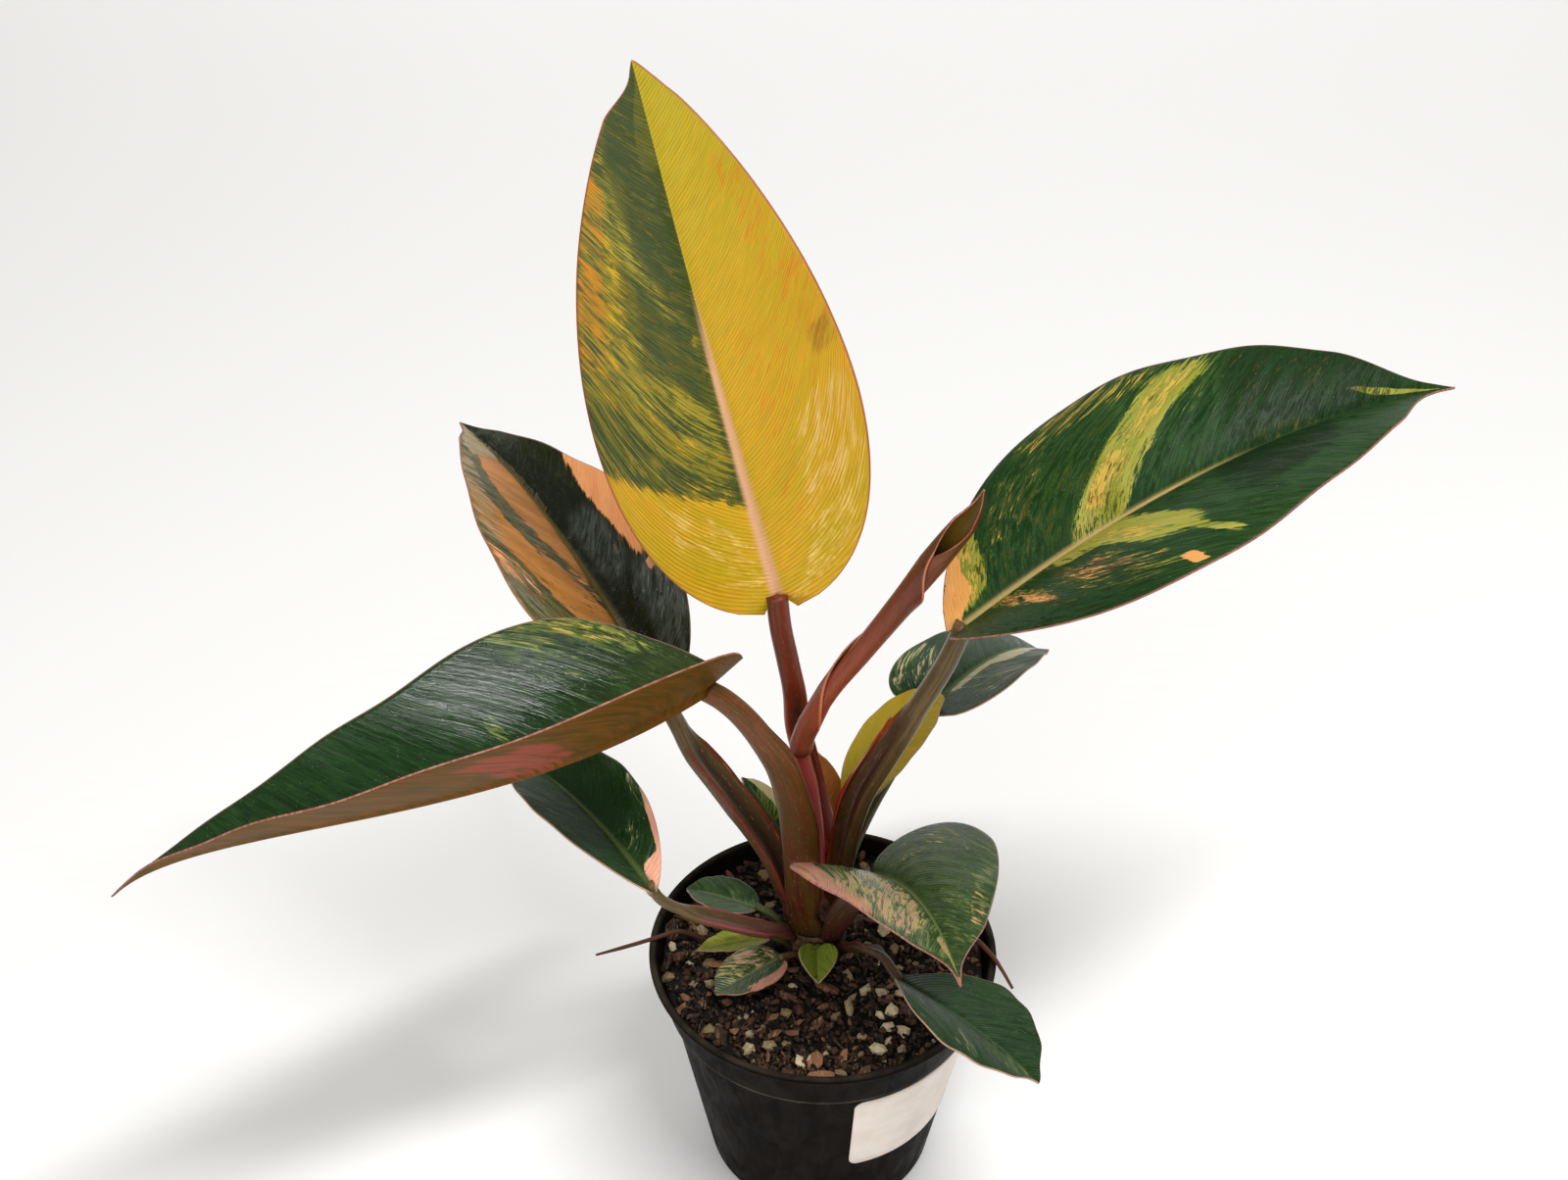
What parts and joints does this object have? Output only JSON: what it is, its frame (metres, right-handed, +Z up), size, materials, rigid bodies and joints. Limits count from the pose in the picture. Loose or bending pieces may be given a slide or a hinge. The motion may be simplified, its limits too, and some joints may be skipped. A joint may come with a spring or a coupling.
{
  "type": "potted philodendron",
  "caption": "Young potted philodendron with broad variegated green, yellow and orange leaves on reddish stalks, in a black nursery pot with a bare white sticker.",
  "frame": {"origin": "centre of the pot's foot on the surface it stands on", "axes": "+X to the picture's right, +Y away from the picture's viewer, +Z up"},
  "size_m": [0.3563, 0.1813, 0.3428],
  "materials": {
    "pot_plastic": "matt black, lightly scuffed",
    "label_paper": "matt white, bare",
    "potting_mix": "damp bark and perlite mix",
    "stalk": "satin olive brown to red",
    "new_leaf": "satin rose red",
    "leaf_gold": "satin yellow with green sectors",
    "leaf_dark": "glossy dark green with lime and orange sectors",
    "leaf_cream": "satin green, cream and pink mottle",
    "leaf_lime": "satin lime green",
    "leaf_orange": "satin orange brown",
    "root": "dry brown root"
  },
  "bodies": {
    "root": {"pot": "pot_plastic", "label": "label_paper", "soil": "potting_mix", "crown": "stalk", "leaf_top": "leaf_gold", "leaf_right": "leaf_dark", "leaf_left": "leaf_dark", "leaf_back_left": "leaf_dark", "leaf_low_left": "leaf_dark", "leaf_front_right": "leaf_cream", "leaf_low_right": "leaf_dark", "leaf_back_right": "leaf_dark", "leaf_yellow": "leaf_gold", "leaf_orange": "leaf_orange", "leaf_cream": "leaf_cream", "pup_leaf_back": "leaf_dark", "pup_leaf_mid": "leaf_lime", "pup_leaf_front": "leaf_cream", "pup_leaf_small": "leaf_lime", "new_leaf": "new_leaf", "stalk_top": "stalk", "stalk_right": "stalk", "stalk_left": "stalk", "stalk_back_left": "stalk", "stalk_low_left": "stalk", "stalk_front_right": "stalk", "stalk_low_right": "stalk", "stalk_back_right": "stalk", "stalk_yellow": "stalk", "stalk_orange": "stalk", "stalk_cream": "stalk", "pup_stalk_back": "stalk", "pup_stalk_mid": "stalk", "pup_stalk_front": "stalk", "pup_stalk_small": "stalk", "root_left": "root", "root_right": "root"}
  },
  "joints": []
}
